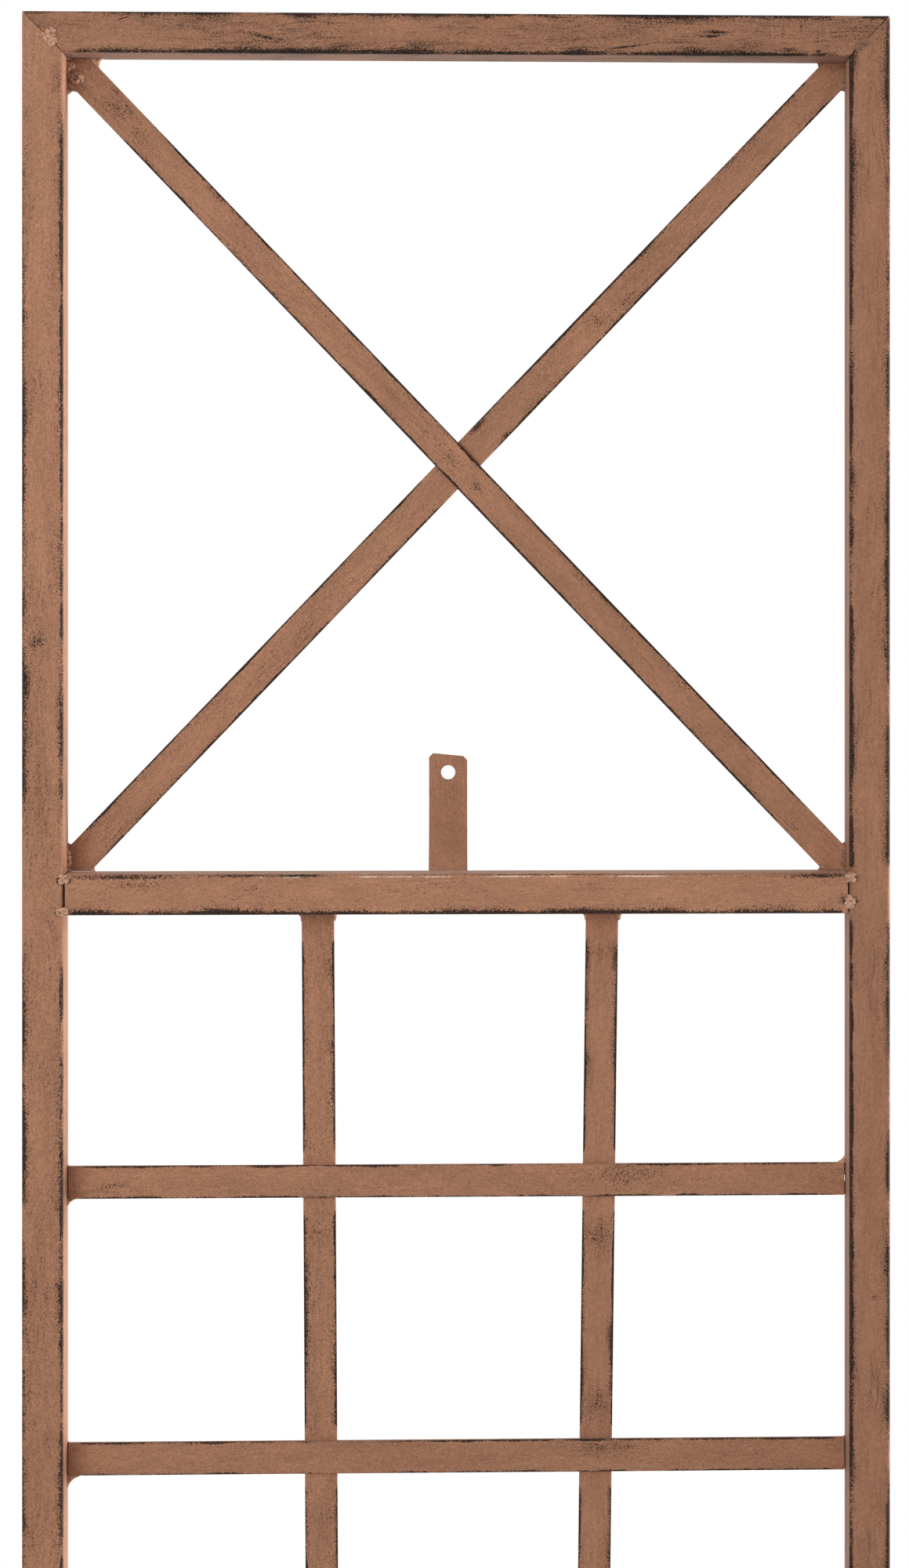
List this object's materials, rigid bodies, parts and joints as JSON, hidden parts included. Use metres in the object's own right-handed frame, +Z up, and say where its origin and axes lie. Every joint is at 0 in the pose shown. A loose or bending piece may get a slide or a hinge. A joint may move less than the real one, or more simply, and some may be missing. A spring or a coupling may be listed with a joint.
{
  "type": "espalier frame",
  "caption": "Tall flat welded steel frame with a crossed panel over a lattice of flat bar, and a bent wall tab, for tying climbers and trained fruit trees.",
  "frame": {"origin": "the point where the axis of the screw hole in the strap's head meets the wall", "axes": "+Z up along the stiles, +X along the rails to the viewer's right, +Y out of the back towards the wall"},
  "size_m": [0.53, 0.0592, 1.581],
  "materials": {
    "tube_paint": "matte terracotta paint, edges rubbed black",
    "bar_paint": "matte terracotta paint, edges rubbed black",
    "weld_paint": "matte terracotta paint over weld beads"
  },
  "bodies": {
    "root": {"left_stile": "tube_paint", "right_stile": "tube_paint", "top_rail": "tube_paint", "middle_rail": "tube_paint", "bottom_rail": "tube_paint", "front_brace": "bar_paint", "rear_brace": "bar_paint", "left_grid_bar": "bar_paint", "right_grid_bar": "bar_paint", "rung_1": "bar_paint", "rung_2": "bar_paint", "rung_3": "bar_paint", "rung_4": "bar_paint", "rung_5": "bar_paint", "wall_tab": "bar_paint", "top_left_corner_welds": "weld_paint", "top_right_corner_welds": "weld_paint", "bottom_left_corner_welds": "weld_paint", "bottom_right_corner_welds": "weld_paint", "middle_rail_left_welds": "weld_paint", "middle_rail_right_welds": "weld_paint", "front_brace_upper_welds": "weld_paint", "front_brace_lower_welds": "weld_paint", "rear_brace_upper_welds": "weld_paint", "rear_brace_lower_welds": "weld_paint", "brace_crossing_welds": "weld_paint", "left_grid_bar_welds": "weld_paint", "right_grid_bar_welds": "weld_paint", "rung_1_welds": "weld_paint", "rung_2_welds": "weld_paint", "rung_3_welds": "weld_paint", "rung_4_welds": "weld_paint", "rung_5_welds": "weld_paint", "lattice_crossing_welds": "weld_paint", "wall_tab_welds": "weld_paint"}
  },
  "joints": []
}
